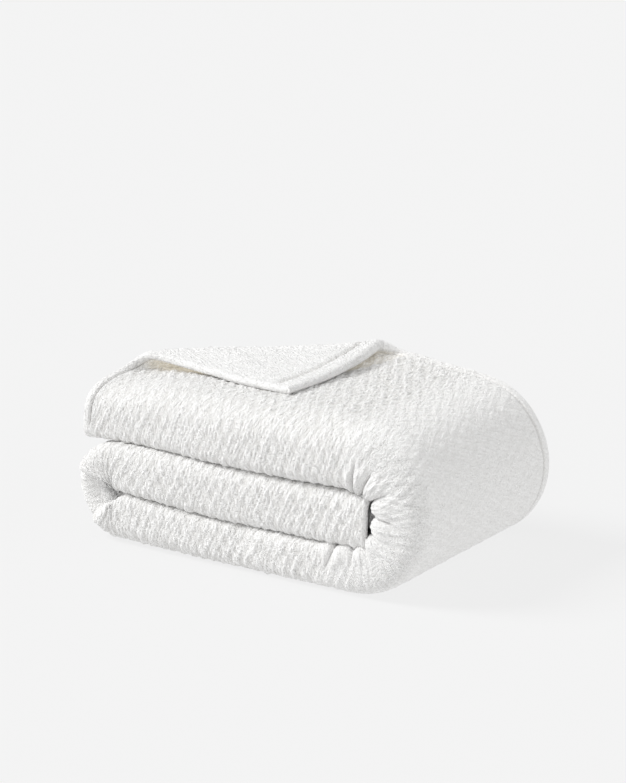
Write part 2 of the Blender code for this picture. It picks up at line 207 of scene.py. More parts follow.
# The hems: width of the stitched band on the long ones, depth of its groove, radius of every rounded edge
BAND, GROOVE, HEM_ROUND = 16.0, 3.2, 6.0
GROOVE_WIDTH, GROOVE_ENDS = 1.5, (4.0, 12.0)  # half its width, and how it comes from either end
SHORT_HEM, SHORT_GROOVE, SHORT_WIDTH = 11.2, 3.4, 1.3  # the same for the hem at the strip's last end
SHORT_COMES, SHORT_GOES = (0.7, 0.9), (1.6, 1.75)  # ranges of t over which that hem's groove comes and goes
# Distances over which the weave comes: half of it on the band, half past it; from the last and first end
WEAVE_ON_BAND, WEAVE_PAST_BAND = (4.0, 9.0), (BAND + 1.0, BAND + 6.0)
WEAVE_LAST_END, WEAVE_FIRST_END = (SHORT_HEM, SHORT_HEM + 10.0), (1.5, 5.0)
NUBS_COME = (1.0, 5.0)  # distances from a hem over which the plain reverse's nubs come


def unit(vectors):
    """Each vector divided by its length."""
    return vectors / np.maximum(np.linalg.norm(vectors, axis=-1, keepdims=True), 1e-9)


def smooth(value, low, high):
    """0 below low, 1 above high, and f*f*(3 - 2f) between."""
    f = np.clip((value - low) / (high - low), 0.0, 1.0)
    return f * f * (3 - 2 * f)


def between(value, ends):
    """Whether a value lies between two ends."""
    return (value > ends[0]) & (value < ends[1])


def comes_and_goes(value, comes, goes):
    """It grows from 0 to 1 over the first range and falls back to 0 over the second."""
    return smooth(value, *comes) * (1 - smooth(value, *goes))


def zone(s, t, ranges):
    """How far, from 0 to 1, a place lies in a stretch: ranges of s, then of t, each coming and going."""
    return comes_and_goes(s, *ranges[:2]) * comes_and_goes(t, *ranges[2:])


def eased(s, column):
    """A column of PLACES at s: between two places it follows f*f*(3 - 2f), f being the share of the way."""
    values = np.array([row[column] for row in PLACES])
    i = np.clip(s.astype(int), 0, END - 1)
    f = s - i
    f = f * f * (3 - 2 * f)
    return values[i] * (1 - f) + values[i + 1] * f


def outer_side(s):
    """The strip's outer side at s: x, z, the direction outwards (dx, dz), and the strip's thickness there.

    Straight for the middle, bottom and top, half an ellipse for the bend, half a circle for the wrap.
    """
    stretch = np.clip(s.astype(int), 0, END - 1)
    f = s - stretch
    flat, still = np.ones_like(s), np.zeros_like(s)

    middle = (MIDDLE_END_X + (BEND_X - MIDDLE_END_X) * f, flat * (LAYER_BOTTOM + LAYER_MIDDLE - CLEARANCE))
    middle += (still, flat, flat * (LAYER_MIDDLE - 2 * CLEARANCE))

    turn = math.pi * (0.5 + f)
    dx, dz = np.cos(turn), np.sin(turn)
    reach = 1 / np.hypot(dx / BEND_REACH, dz / np.where(f < 0.5, LAYER_MIDDLE - CLEARANCE, LAYER_BOTTOM))
    bend = (BEND_X + dx * reach, LAYER_BOTTOM + dz * reach, dx, dz, reach - CLEARANCE)

    bottom = (BEND_X + (WRAP_X - BEND_X) * f, still, still, -flat, flat * (LAYER_BOTTOM - CLEARANCE))

    turn = math.pi * (f - 0.5)
    dx, dz = np.cos(turn), np.sin(turn)
    level = WRAP_RADIUS - np.where(f < 0.5, LAYER_BOTTOM, LAYER_TOP) + CLEARANCE
    wrap = (WRAP_X + dx * WRAP_RADIUS, WRAP_RADIUS + dz * WRAP_RADIUS, dx, dz)
    wrap += (WRAP_RADIUS - level - (WRAP_INNER - level) * dx**2,)

    fine_x = TOP_END_X + FINE_LENGTH
    x = np.where(stretch == TOP, WRAP_X + (fine_x - WRAP_X) * f, fine_x - FINE_LENGTH * f)
    lower = DROOP * (np.maximum(0.0, DROOP_X - x) / (DROOP_X - TOP_END_X)) ** DROOP_POWER
    top = (x, STACK - lower, still, flat, LAYER_TOP - CLEARANCE - lower)

    return [np.choose(np.minimum(stretch, TOP), column) for column in zip(middle, bend, bottom, wrap, top)]


TURN_PLACES = 33  # how finely a superellipse quarter is measured


def squarish_turn(share, length, height, power):
    """A quarter of a superellipse: across, up, and its length, at a share of the way from side to tip."""
    angles = np.linspace(0.0, math.pi / 2, TURN_PLACES)
    power = np.asarray(power, float)[..., None]
    across = length[..., None] * (1 - np.sin(angles) ** (2 / power))
    up = height[..., None] * np.cos(angles) ** (2 / power)
    far = np.cumsum(np.hypot(np.diff(across), np.diff(up)), axis=-1)
    far = np.concatenate((np.zeros_like(far[..., :1]), far), axis=-1)
    place = np.clip(share, 0.0, 1.0) * far[..., -1]
    i = np.clip((far <= place[..., None]).sum(axis=-1) - 1, 0, len(angles) - 2)[..., None]
    low, high = (np.take_along_axis(far, i + k, axis=-1)[..., 0] for k in (0, 1))
    f = (place - low) / (high - low)
    turn = []
    for curve in (across, up):
        before, after = (np.take_along_axis(curve, i + k, axis=-1)[..., 0] for k in (0, 1))
        turn.append(before * (1 - f) + after * f)
    return turn[0], turn[1], far[..., -1]


def section_point(s, t, thick):
    """The cloth's middle across a strip so thick: y, and the height above the strip's inner side.

    Four level plies at even heights. The outer front fold is two superellipse quarters, the others are half
    circles.
    """
    cloth = eased(s, CLOTH)
    nose_out, nose_in = eased(s, NOSE_OUT), eased(s, NOSE_IN)
    front = FRONT + eased(s, SET_BACK) + cloth / 2
    back = BACK - cloth / 2
    pitch = (thick - cloth) / 3
    low = cloth / 2
    run = np.clip(t.astype(int), 0, len(RUNS) - 1)
    f = t - run

    outer_leg = (back + (front + nose_out - back) * f, low + 3 * pitch)
    upper = squarish_turn(2 * f, nose_out, 1.5 * pitch, eased(s, POWER_OUT))
    lower = squarish_turn(2 - 2 * f, nose_in, 1.5 * pitch, POWER_IN)
    nose_height = low + 1.5 * pitch + np.where(f < 0.5, upper[1], -lower[1])
    outer_nose = (front + np.where(f < 0.5, upper[0], lower[0]), nose_height)
    fold_y = back - pitch / 2
    inner_leg = (front + nose_in + (fold_y - front - nose_in) * f, low)
    up = pitch / 2 * (1 - np.cos(math.pi * f))
    round_off = pitch / 2 * np.sin(math.pi * f)
    back_fold = (fold_y + round_off, low + up)
    nose_y = front + cloth + INNER_NOSE_GAP + pitch / 2
    lower_leg = (fold_y + (nose_y - fold_y) * f, low + pitch)
    inner_nose = (nose_y - round_off, low + pitch + up)
    upper_leg = (nose_y + (back - HEM_STAGGER - nose_y) * f, low + 2 * pitch)

    runs = (outer_leg, outer_nose, inner_leg, back_fold, lower_leg, inner_nose, upper_leg)
    return [np.choose(run, column) for column in zip(*runs)]


def front_relief(x, z, s):
    """How far the front folds stand back: at the left bend's wedge-shaped hollow and at a dimple."""
    reach = np.hypot(x - HOLLOW_X, z - LAYER_BOTTOM)
    angle = np.degrees(np.arctan2(z - LAYER_BOTTOM, x - HOLLOW_X)) % 360
    upper, lower = HOLLOW_EDGES
    hollow = comes_and_goes(angle, (HOLLOW_FROM, HOLLOW_FROM + upper), (HOLLOW_TO - lower, HOLLOW_TO))
    height = np.where(z > LAYER_BOTTOM, LAYER_MIDDLE, LAYER_BOTTOM)
    inward = 1 - np.hypot((x - BEND_X) / BEND_REACH, (z - LAYER_BOTTOM) / height)
    slope = np.clip(inward / HOLLOW_SLOPE, 0.0, 1.0)
    hollow = HOLLOW_DEPTH * hollow * smooth(reach, HOLLOW_START, HOLLOW_INSIDE) * slope
    dimple = DIMPLE_DEPTH * np.exp(-((x - DIMPLE_X) ** 2 + (z - DIMPLE_Z) ** 2) / DIMPLE_RADIUS**2)

    return hollow * between(s, HOLLOW_ON) + dimple * between(s, DIMPLE_ON)


def left_lift(x, z):
    """How far a place is lifted as the bottom layer gets thicker to the left: most at that layer's top."""
    below = np.sin(np.clip(z / LAYER_BOTTOM, 0.0, 1.0) * math.pi / 2)
    above = np.cos(np.clip((z - LAYER_BOTTOM) / LAYER_MIDDLE, 0.0, 1.0) * math.pi / 2)
    left = np.clip((-x - LIFT_FROM) / (LIFT_TO - LIFT_FROM), 0.0, 1.0) ** LIFT_POWER
    return LEFT_LIFT * left * below * above


def folded_point(s, t):
    """The cloth's middle with its main folds but without the turned corner, as (x, y, z)."""
    x, z, dx, dz, thick = outer_side(s)
    y, height = section_point(s, t, thick)
    depth = thick - height
    x, z = x - dx * depth, z - dz * depth
    x = x - END_STAGGER * np.clip((s - TOP) / (END - TOP), 0, 1) ** STAGGER_POWER * depth / thick
    y = y + front_relief(x, z, s) * ((t > 1) & (t < 2)) * (1 - smooth(t, *RELIEF_FADE))
    return np.stack((x, y, z + left_lift(x, z)), axis=-1)


TOP_LENGTH = WRAP_X - TOP_END_X
END_CLOTH = PLACES[END][CLOTH]
LEG = BACK - FRONT - PLACES[END][SET_BACK] - END_CLOTH - PLACES[END][NOSE_OUT]
HALF_NOSE = np.array((LAYER_TOP - CLEARANCE - DROOP - END_CLOTH) / 2)
END_NOSE, END_POWER = np.array(PLACES[END][NOSE_OUT]), PLACES[END][POWER_OUT]
NOSE = 2 * float(squarish_turn(np.zeros(()), END_NOSE, HALF_NOSE, END_POWER)[2])


def on_flat_cloth(s, t):
    """Distances on the topmost ply: along the cloth from its end, and across it from the back hem."""
    along = outer_side(s)[0] - TOP_END_X
    return np.stack((along, np.where(t <= 1, t * LEG, LEG + (t - 1) * NOSE)), axis=-1)


def folded_from_flat(along, across):
    """The reverse of on_flat_cloth, which goes on past the hems: the cloth's middle at such distances."""
    t = np.where(across <= LEG, across / LEG, 1 + (across - LEG) / NOSE)
    far = TOP + (TOP_LENGTH - along) / (TOP_LENGTH - FINE_LENGTH)
    s = np.where(along > FINE_LENGTH, far, END - along / FINE_LENGTH)
    point = folded_point(np.minimum(s, END), np.maximum(t, 0.0))
    point[..., 0] -= np.maximum(s - END, 0.0) * FINE_LENGTH
    point[..., 1] -= np.minimum(across, 0.0)
    return point


def on_top(q):
    """The middle of the topmost ply at the distances q, and the direction out of its outer face."""
    step = 1.0
    along, across = q[..., 0], q[..., 1]
    du = folded_from_flat(along + step, across) - folded_from_flat(along - step, across)
    dv = folded_from_flat(along, across + step) - folded_from_flat(along, across - step)
    out = np.cross(dv, du)
    return folded_from_flat(along, across), out / np.linalg.norm(out, axis=-1, keepdims=True)


FOLD_PLACES, BEND_PLACES = 240, 60  # how finely the whole fold and its bend are measured


def fold_curve():
    """The fold on the flat ply, two runs joined by a parabola: even places, directions, its length."""
    start, bend, finish = (np.array(p) for p in (FOLD_START, FOLD_BEND, FOLD_FINISH))
    first = bend + (start - bend) * FOLD_ROUND[0]
    second = bend + (finish - bend) * FOLD_ROUND[1]
    f = np.linspace(0.0, 1.0, BEND_PLACES)[:, None]
    corner = first * (1 - f) ** 2 + bend * 2 * f * (1 - f) + second * f**2
    rough = np.vstack((start, corner, finish))
    far = np.concatenate(([0.0], np.cumsum(np.hypot(*np.diff(rough, axis=0).T))))
    even = np.linspace(0.0, far[-1], FOLD_PLACES)
    places = np.stack([np.interp(even, far, rough[:, k]) for k in (0, 1)], axis=1)
    along = np.gradient(places, axis=0)
    return places, along / np.linalg.norm(along, axis=1, keepdims=True), far[-1]


FOLD, FOLD_ALONG, FOLD_LENGTH = fold_curve()
FOLD_STEP = np.gradient(FOLD_ALONG, FOLD_LENGTH / (len(FOLD) - 1), axis=0)
FOLD_CURVE = FOLD_ALONG[:, 0] * FOLD_STEP[:, 1] - FOLD_ALONG[:, 1] * FOLD_STEP[:, 0]
LEAST_SPREAD = 0.2  # keeps places near the centre of the fold's bend from sliding too far along it


def near_fold(q):
    """Where q lies from the fold: share of its length, nearest point, direction out, distance beyond."""
    last = len(FOLD) - 1
    i = np.argmin(((q[..., None, :] - FOLD) ** 2).sum(axis=-1), axis=-1)
    slide = ((q - FOLD[i]) * FOLD_ALONG[i]).sum(axis=-1)
    away = (q - FOLD[i])[..., 0] * FOLD_ALONG[i, 1] - (q - FOLD[i])[..., 1] * FOLD_ALONG[i, 0]
    share = i / last + slide / (FOLD_LENGTH * np.maximum(1 + FOLD_CURVE[i] * away, LEAST_SPREAD))
    even = np.linspace(0.0, 1.0, last + 1)
    along = np.stack([np.interp(share, even, FOLD_ALONG[:, k]) for k in (0, 1)], axis=-1)
    past = (share - np.clip(share, 0.0, 1.0))[..., None] * FOLD_LENGTH
    foot = np.stack([np.interp(share, even, FOLD[:, k]) for k in (0, 1)], axis=-1) + along * past
    out = np.stack((along[..., 1], -along[..., 0]), axis=-1)
    return np.clip(share, 0.0, 1.0), foot, out, ((q - foot) * out).sum(axis=-1)


_, CORNER_FOOT, _, CORNER_BEYOND = near_fold(np.zeros(2))
FLAP_PULL = (np.array(FLAP_TIP) - CORNER_FOOT) / (CORNER_BEYOND * CORNER_REACH)


def flap_profile(beyond, share, cloth):
    """The curve of the turned cloth square to its fold: reach past the fold, and height above the ply.

    It rises on a parabola, turns on a circle and comes down on a second parabola until it lies on the ply.
    """
    shares = [row[0] for row in FOLD_SHAPE]
    columns = (RISE, RISE_RUN, FOLD_RADIUS, DOWN_ANGLE)
    rise, run, radius, down = (np.interp(share, shares, [row[k] for row in FOLD_SHAPE]) for k in columns)
    start = np.arctan(2 * rise / run)
    end = math.pi + np.radians(down)
    angle = start + np.clip(beyond / radius, 0.0, end - start)
    reach = radius * (np.sin(angle) - np.sin(start))
    high = rise * np.clip(1 + beyond / run, 0.0, 1.0) ** 2 + radius * (np.cos(start) - np.cos(angle))
    rest = cloth + FLAP_GAP
    after = beyond - radius * (end - start)
    part = np.clip(after * np.tan(np.radians(down)) / (2 * (high - rest)), 0.0, 1.0)
    height = np.where(after > 0, rest + (high - rest) * (1 - part) ** 2, high)
    return np.where(beyond < 0, beyond, reach - np.maximum(after, 0.0)), height


def turned_corner(s, t):
    """The topmost ply's middle with its corner turned over the fold and pulled towards FLAP_TIP."""
    flat = on_flat_cloth(s, t)
    share, foot, out, beyond = near_fold(flat)
    reach, height = flap_profile(beyond, share, eased(s, CLOTH))
    pull = np.clip((share - PULL_FROM) / PULL_OVER, 0.0, 1.0)[..., None]
    back = FLAP_PULL * pull - out * (1 - pull)
    place = foot + np.maximum(reach, 0.0)[..., None] * out + np.maximum(-reach, 0.0)[..., None] * back
    place = np.where(beyond[..., None] > 0, place, flat)
    point, up = on_top(place)
    return np.where((height > 0)[..., None], point + up * height[..., None], folded_point(s, t))


def waves(u, v, rows):
    """A sum of sine waves; each row gives length along u, length along v, phase, height."""
    return sum(high * np.sin(u / along + v / across + phase) for along, across, phase, high in rows)


def swayed(points):
    """The points moved by the stack's soft unevenness.

    Slow waves push them in and out above the floor, and lift them above the bottom layer.
    """
    x, y, z = points[..., 0], points[..., 1], points[..., 2]
    up = np.maximum(0.0, z - LAYER_BOTTOM) / (STACK - LAYER_BOTTOM)
    swell = np.sin(x / SWELL_X[0] + SWELL_X[1]) * np.sin(y / SWELL_Y[0] + SWELL_Y[1])
    lift = SWAY * up * (swell + waves(x, y, LIFT_WAVES))
    push = SWAY_PUSH * SWAY * waves(x, z, PUSH_WAVES) * np.minimum(1.0, z / SWAY_OVER)
    return np.stack((x, y + push, z + lift), axis=-1)


# How puffs and ribs drift along and across the cloth, as rows for waves, and the share of height each one has
PUFF_DRIFTS = (
    ((61.0, 34.0, 0.3, 1.5), (-27.0, 19.0, 1.9, 1.1), (11.0, 9.0, 4.0, 0.8)),
    ((43.0, 57.0, 0.9, 2.4), (-9.0, 37.0, 2.7, 1.9), (6.0, -29.0, 5.1, 1.3)),
)
RIB_DRIFTS = (
    ((31.0, 14.0, 2.3, 1.1), (-13.0, 8.0, 0.9, 0.6), (5.0, 17.0, 3.0, 0.35)),
    ((9.0, 27.0, 1.9, 2.4), (-6.0, 13.0, 0.7, 1.6), (23.0, -11.0, 4.1, 1.4)),
)
PUFF_MIX = np.random.default_rng(11).uniform(0.5, 1.2, (61, 67))
RIB_MIX = np.random.default_rng(12).uniform(0.1, 1.3, (89, 97))


def lattice(u, v, half_u, half_v, drifts, mix, fill):
    """Swells on a drifting lattice: cos(u) cos(v), lifted by fill, times each swell's own share.

    The product of cosines stands highest at every second crossing, so each column of long swells is half a
    step from the next.
    """
    a = math.pi * (u + waves(u, v, drifts[0])) / half_u
    b = math.pi * (v + waves(u, v, drifts[1])) / half_v
    row = np.rint((a + b) / (2 * math.pi)).astype(int) % mix.shape[0]
    column = np.rint((a - b) / (2 * math.pi)).astype(int) % mix.shape[1]
    swell = np.clip((np.cos(a) * np.cos(b) + fill) / (1 + fill), 0.0, 1.0)
    return swell**SWELL_POWER * mix[row, column]


def weave(u, v, ribbed):
    """Height of the puffed weave at (u, v), and how deep down between its swells a place is, from 0 to 1."""
    puff = lattice(u, v, PUFF_U, PUFF_V, PUFF_DRIFTS, PUFF_MIX, PUFF_FILL)
    rib = lattice(u, v, RIB_U, RIB_V, RIB_DRIFTS, RIB_MIX, RIB_FILL)
    deep = np.clip(1.0 - PUFF_RAISES * puff - RIB_RAISES * rib, 0.0, 1.0)
    return PUFF_HEIGHT * puff + RIB_HEIGHT * rib * ribbed, deep * ribbed


def gathers(point, s, t):
    """The pillows between the creases round the wrap: how far each stands out of the cloth.

    Between two creases a pillow is half an ellipse, and past their reach it fades.
    """
    radius = np.hypot(point[..., 0] - WRAP_X, point[..., 2] - WRAP_RADIUS)
    angle = np.degrees(np.arctan2(point[..., 2] - WRAP_RADIUS, point[..., 0] - WRAP_X))
    angle = np.where(angle > GATHER_LAST, angle - 360, angle)
    creases, reaches = np.array(GATHERS).T
    i = np.clip(np.searchsorted(creases, angle) - 1, 0, len(creases) - 2)
    f = np.clip((angle - creases[i]) / (creases[i + 1] - creases[i]), 0.0, 1.0)
    pillow = np.sqrt(4 * f * (1 - f))
    reach = np.interp(angle, creases, reaches)
    inside = smooth(reach + GATHER_FADE / 2 - radius, 0.0, GATHER_FADE)
    first, last = (creases[0], creases[0] + GATHER_END), (creases[-1] - GATHER_END, creases[-1])
    inside = inside * zone(s, t, GATHERED) * comes_and_goes(angle, first, last)
    return GATHER_HEIGHT * (pillow - GATHER_SINK) * inside


# Distances from a hem of the rows next to it, which follow its rounded edge and its groove
HEM_CELLS = np.array(
    (0.0, 0.15, 0.6, 1.3, 2.2, 3.2, 4.4, 5.8, 7.2, 8.6, 10.0, 11.2, 12.2, 13.0, 13.8, 14.8, 16.2)
)
ROUGH_PLACES = 6001  # how finely the strip's length is measured


def spaced(length, cell, fine_start, fine_end):
    """Shares of a length at even cells, with a row of ever finer ones towards an end that is a hem."""
    parts = []
    low = high = 0.0
    if fine_start:
        parts.append(HEM_CELLS)
        low = HEM_CELLS[-1] + cell
    if fine_end:
        high = HEM_CELLS[-1] + cell
    parts.append(np.linspace(low, length - high, max(2, round((length - low - high) / cell) + 1)))
    if fine_end:
        parts.append(length - HEM_CELLS[::-1])
    return np.concatenate(parts) / length


def along_strip():
    """Every s of the fine grid, and the cloth's length u from the strip's start to each."""
    rough = np.linspace(0.0, END, ROUGH_PLACES)
    x, z = outer_side(rough)[:2]
    far = np.concatenate(([0.0], np.cumsum(np.hypot(np.diff(x), np.diff(z)))))
    places = [np.zeros(1)]
    for i, row in enumerate(PLACES[1:]):
        length = float(np.interp(i + 1, rough, far) - np.interp(i, rough, far))
        places.append(i + spaced(length, row[CELL], i == 0, i == END - 1)[1:])
    s = np.concatenate(places)
    s[-1] = END
    return s, np.interp(s, rough, far)


def across_strip(first, last):
    """Every t from the run first up to the run last."""
    places = [np.array([float(first)])]
    for i in range(first, last):
        _, length, cell = RUNS[i]
        places.append(i + spaced(length, cell, i == 0, i == len(RUNS) - 1)[1:])
    return np.concatenate(places)


def steady(normal, us, tt, v):
    """The same normals, but those within a hem's rounding are taken from the first place past it."""
    normal = normal.copy()
    first, last = np.searchsorted(us, HEM_ROUND), np.searchsorted(us, us[-1] - HEM_ROUND)
    normal[:first], normal[last:] = normal[first], normal[last]
    columns = np.median(v, axis=0)
    if tt[0] == 0:
        first = np.searchsorted(columns, HEM_ROUND)
        normal[:, :first] = normal[:, first : first + 1]
    if tt[-1] == len(RUNS):
        last = np.flatnonzero(columns > HEM_ROUND)[-1]
        normal[:, last:] = normal[:, last : last + 1]
    return normal


def grooves(s, t, v, end):
    """Depth of the stitched grooves: beside each long hem, and beside the last end where it turns down."""
    long = GROOVE * np.exp(-(((v - BAND) / GROOVE_WIDTH) ** 2)) * smooth(end, *GROOVE_ENDS)
    rim = comes_and_goes(t, SHORT_COMES, SHORT_GOES) * (s > TOP)
    return long + SHORT_GROOVE * np.exp(-(((end - SHORT_HEM) / SHORT_WIDTH) ** 2)) * rim


def weave_share(s, t, v, end, height, tight, hollow):
    """How strong the weave is: weaker on hems, on the floor, on the tight side and in the hollow."""
    share = 0.5 * smooth(v, *WEAVE_ON_BAND) + 0.5 * smooth(v, *WEAVE_PAST_BAND)
    share = share * np.where(s < 1, smooth(end, *WEAVE_FIRST_END), smooth(end, *WEAVE_LAST_END))
    share = share * smooth(height, *ABOVE_FLOOR) * (1 - (1 - SIDE_WEAVE) * tight)
    return share * (1 - (1 - HOLLOW_WEAVE) * hollow) * (1 + (TOP_WEAVE - 1) * zone(s, t, FLAT_TOP))


def painted_glow_share(s, t, v, end):
    """How strong the painted glow inside the turned corner is, on the flap and on the ply that it covers:
    painted light in its shaded hollow.
    """
    share, _, _, beyond = near_fold(on_flat_cloth(s, t))
    covered = np.minimum(GLOW_REACH, GLOW_SPREAD * (share - FOLD_TURN) * FOLD_LENGTH)
    covered = np.minimum(covered, BACK_SPREAD * (1 - share) * FOLD_LENGTH)
    on_flap = comes_and_goes(beyond, GLOW_ON_FLAP, (GLOW_REACH, 2 * GLOW_REACH))
    on_ply = smooth(beyond + covered, *GLOW_ON_PLY) * (beyond < 0) * (share > FOLD_TURN)
    near_front = comes_and_goes(share, GLOW_COMES, GLOW_GOES) * smooth(end, *GLOW_HEM)
    near_back = BACK_GLOW * smooth(share, *BACK_COMES) * smooth(v, *GLOW_HEM)
    return np.maximum(on_flap, on_ply) * np.maximum(near_front, near_back)


def cloth_middle(ss, us, tt):
    """The cloth's middle on the grid ss by tt, its normals, and each place's s, t and lengths u and v.

    u runs along the strip from its start, v across it from the hem that the grid has.
    """
    s, t = np.meshgrid(ss, tt, indexing="ij")
    u = np.broadcast_to(us[:, None], s.shape)
    y, level = section_point(s, t, outer_side(s)[4])
    steps = np.hypot(np.diff(y), np.diff(level))
    v = np.concatenate((np.zeros_like(y[:, :1]), np.cumsum(steps, axis=1)), axis=1)
    if tt[-1] == len(RUNS):
        v = v[:, -1:] - v
    point = folded_point(s, t)
    if tt[0] == 0:
        top = ss >= TOP
        point[top] = turned_corner(s[top], t[top])
    middle = swayed(point)
    normal = unit(np.cross(np.gradient(middle, axis=0), np.gradient(middle, axis=1)))
    return middle, steady(normal, us, tt, v), s, t, u, v


def calm_share(middle, s, t):
    """How far, from 0 to 1, a place lies in the left bend's hollow, where the cloth is calm."""
    x, z = middle[..., 0], middle[..., 2]
    into = np.clip(front_relief(x, z - left_lift(x, z), s) / CALM_DEPTH, 0.0, 1.0)
    return into * (between(s, CALM_ON) & (t > 1))


def sheet_faces(ss, us, tt):
    """The two faces of the cloth on the grid ss by tt, as points and normals, and its CLOTH_COLUMNS.

    Each face lies half the cloth's thickness from its middle. The puffed face adds the weave, and at a hem
    both close on a circle's arc.
    """
    middle, normal, s, t, u, v = cloth_middle(ss, us, tt)
    end = np.minimum(u, us[-1] - u)
    hem = np.minimum(end, v)
    close = np.sqrt(1 - (1 - np.clip(hem / HEM_ROUND, 0.0, 1.0)) ** 2)
    groove = grooves(s, t, v, end)

    hollow = calm_share(middle, s, t)
    tight, folded = zone(s, t, TIGHT), zone(s, t, WRAP_FOLD)
    woven = weave_share(s, t, v, end, middle[..., 2], tight, hollow)
    calm = 1 - (1 - SIDE_FUZZ) * tight
    fuzz = calm + WRAP_FUZZ * folded + TURN_FUZZ * zone(s, t, WRAP_TURN)
    yarn = calm * (1 - (1 - WRAP_YARN) * folded) * (1 - (1 - HOLLOW_YARN) * hollow)

    half = eased(s, CLOTH) / 2
    height, deep = weave(u, v, 1 - (1 - WRAP_RIBS) * folded)
    nubs = lattice(u, v, NUB_U, NUB_V, RIB_DRIFTS, RIB_MIX, NUB_FILL) - NUB_SINK
    front = half + (height - WEAVE_SINK) * woven - groove + gathers(middle, s, t)
    rear = half - groove + NUB_HEIGHT * nubs * smooth(hem, *NUBS_COME)
    faces = []
    for side, away in ((1.0, front), (-1.0, rear)):
        face = middle + normal * (side * away * close)[..., None]
        face[..., 2] = np.maximum(face[..., 2], FLOOR)
        face_normal = unit(np.cross(np.gradient(face, axis=0), np.gradient(face, axis=1))) * side
        faces.append((face, face_normal))

    line = np.clip(groove / GROOVE, 0.0, 1.0)
    none = np.zeros_like(v)
    painted_glow = none.copy()
    # painted light: the share of glow painted inside the turned corner's hollow
    if tt[0] == 0:
        top = ss >= TOP
        painted_glow[top] = painted_glow_share(s[top], t[top], v[top], end[top])
    # the valley column is the share of painted shade, taken from the depth in the valleys and in the grooves
    return faces, np.stack((u, v, fuzz, yarn, np.maximum(deep * woven, line), line, painted_glow, none), axis=-1)


# What is known of each place: lengths along and across, strength of fuzz and yarn, depth in the valleys and
# in the stitched grooves, which sets the painted shade there, strength of the painted glow, and nothing
CLOTH_COLUMNS = ("u", "v", "fuzz", "yarn", "valley_shade", "line", "painted_glow", "none")
# What is marked on the cloth for its finish, and which column that is on the puffed and on the plain face
MARKS = (
    ("fuzz", "fuzz", "fuzz"),
    ("yarn", "yarn", "yarn"),
    ("valley_shade", "valley_shade", "line"),
    ("painted_glow", "painted_glow", "none"),
)


def quads(index, turned):
    """The four-cornered faces of a grid of points, one way round or the other."""
    corners = [index[:-1, :-1], index[1:, :-1], index[1:, 1:], index[:-1, 1:]]
    return np.stack(corners[::-1] if turned else corners, axis=-1).reshape(-1, 4)


def closed_polygons(upper, lower, borders):
    """The polygons of both faces and of the walls between them: their corners in a row, sizes, and material.

    Where two corners of a polygon are the same point it has one corner less, and with two it is left out.
    """
    polygons = [quads(upper, False), quads(lower, True)]
    for border, turned in zip(borders, (True, False, False, True)):
        a, b = upper[border], lower[border]
        wall = np.stack((a[:-1], a[1:], b[1:], b[:-1]), axis=-1)
        polygons.append(wall if turned else wall[:, ::-1])
    material = np.concatenate([np.full(len(p), k > 0) for k, p in enumerate(polygons)])
    polygons = np.concatenate(polygons)
    repeated = polygons == np.roll(polygons, 1, axis=1)
    keep = repeated.sum(axis=1) < 2
    polygons, repeated = polygons[keep], repeated[keep]
    return polygons.reshape(-1)[~repeated.reshape(-1)], 4 - repeated.sum(axis=1), material[keep]


def sheet_object(name, faces, cloth, hems):
    """One closed sheet from its two faces: they share the rows at its hems and are capped at its cuts.

    hems tells, for the first row, last row, first column and last column, whether that border is a hem.
    """
    (front, front_normal), (rear, rear_normal) = faces
    rows, columns = front.shape[:2]
    count = rows * columns
    upper = np.arange(count).reshape(rows, columns)
    lower = upper + count
    borders = ((0, slice(None)), (-1, slice(None)), (slice(None), 0), (slice(None), -1))
    for border, is_hem in zip(borders, hems):
        if is_hem:
            lower[border] = upper[border]
    corners, sizes, material = closed_polygons(upper, lower, borders)
    used, corners = np.unique(corners, return_inverse=True)

    points = np.concatenate((front.reshape(-1, 3), rear.reshape(-1, 3)))[used] * MM
    normals = np.concatenate((front_normal.reshape(-1, 3), rear_normal.reshape(-1, 3)))
    both = (lower == upper).reshape(-1)
    normals[:count][both] = unit(normals[:count] + normals[count:])[both]
    coordinates = np.concatenate((cloth[..., :2].reshape(-1, 2),) * 2)[used] * MM
    known = dict(zip(CLOTH_COLUMNS, np.moveaxis(cloth, -1, 0)))

    mesh = sheet_mesh(name, points, corners, sizes, material)
    layer = mesh.uv_layers.new(name="cloth")
    layer.data.foreach_set("uv", coordinates[corners].reshape(-1).astype(np.float32))
    for mark, puffed, plain in MARKS:
        values = np.concatenate((known[puffed].reshape(-1), known[plain].reshape(-1)))[used]
        mesh.attributes.new(mark, "FLOAT", "POINT").data.foreach_set("value", values.astype(np.float32))
    mesh.shade_smooth()
    mesh.normals_split_custom_set_from_vertices(normals[used].tolist())
    sheet = bpy.data.objects.new(name, mesh)
    bpy.context.scene.collection.objects.link(sheet)
    return sheet


def sheet_mesh(name, points, corners, sizes, material):
    """A mesh from its points and polygons."""
    mesh = bpy.data.meshes.new(name)
    mesh.vertices.add(len(points))
    mesh.vertices.foreach_set("co", points.reshape(-1))
    mesh.loops.add(len(corners))
    mesh.loops.foreach_set("vertex_index", corners.astype(np.int32))
    mesh.polygons.add(len(sizes))
    mesh.polygons.foreach_set("loop_start", np.concatenate(([0], np.cumsum(sizes)[:-1])).astype(np.int32))
    mesh.polygons.foreach_set("material_index", material.astype(np.int32))
    mesh.update(calc_edges=True)
    mesh.validate()
    return mesh


class Value:
    """A node's output that can be used in sums: each operation adds its Math node."""

    def __init__(self, tree, socket):
        self.tree, self.socket = tree, socket

    def math(self, operation, other=None):
        """A Math node over this value, and over another value or a number if one is given."""
        node = self.tree.nodes.new("ShaderNodeMath")
        node.operation = operation
        pair = (self,) if other is None else (self, other)
        for socket, value in zip(node.inputs, pair):
            if isinstance(value, Value):
                self.tree.links.new(value.socket, socket)
            else:
                socket.default_value = value
        return Value(self.tree, node.outputs[0])

    def __add__(self, other):
        return self.math("ADD", other)

    def __mul__(self, other):
        return self.math("MULTIPLY", other)

    def __sub__(self, other):
        return self.math("SUBTRACT", other)

    def __truediv__(self, other):
        return self.math("DIVIDE", other)


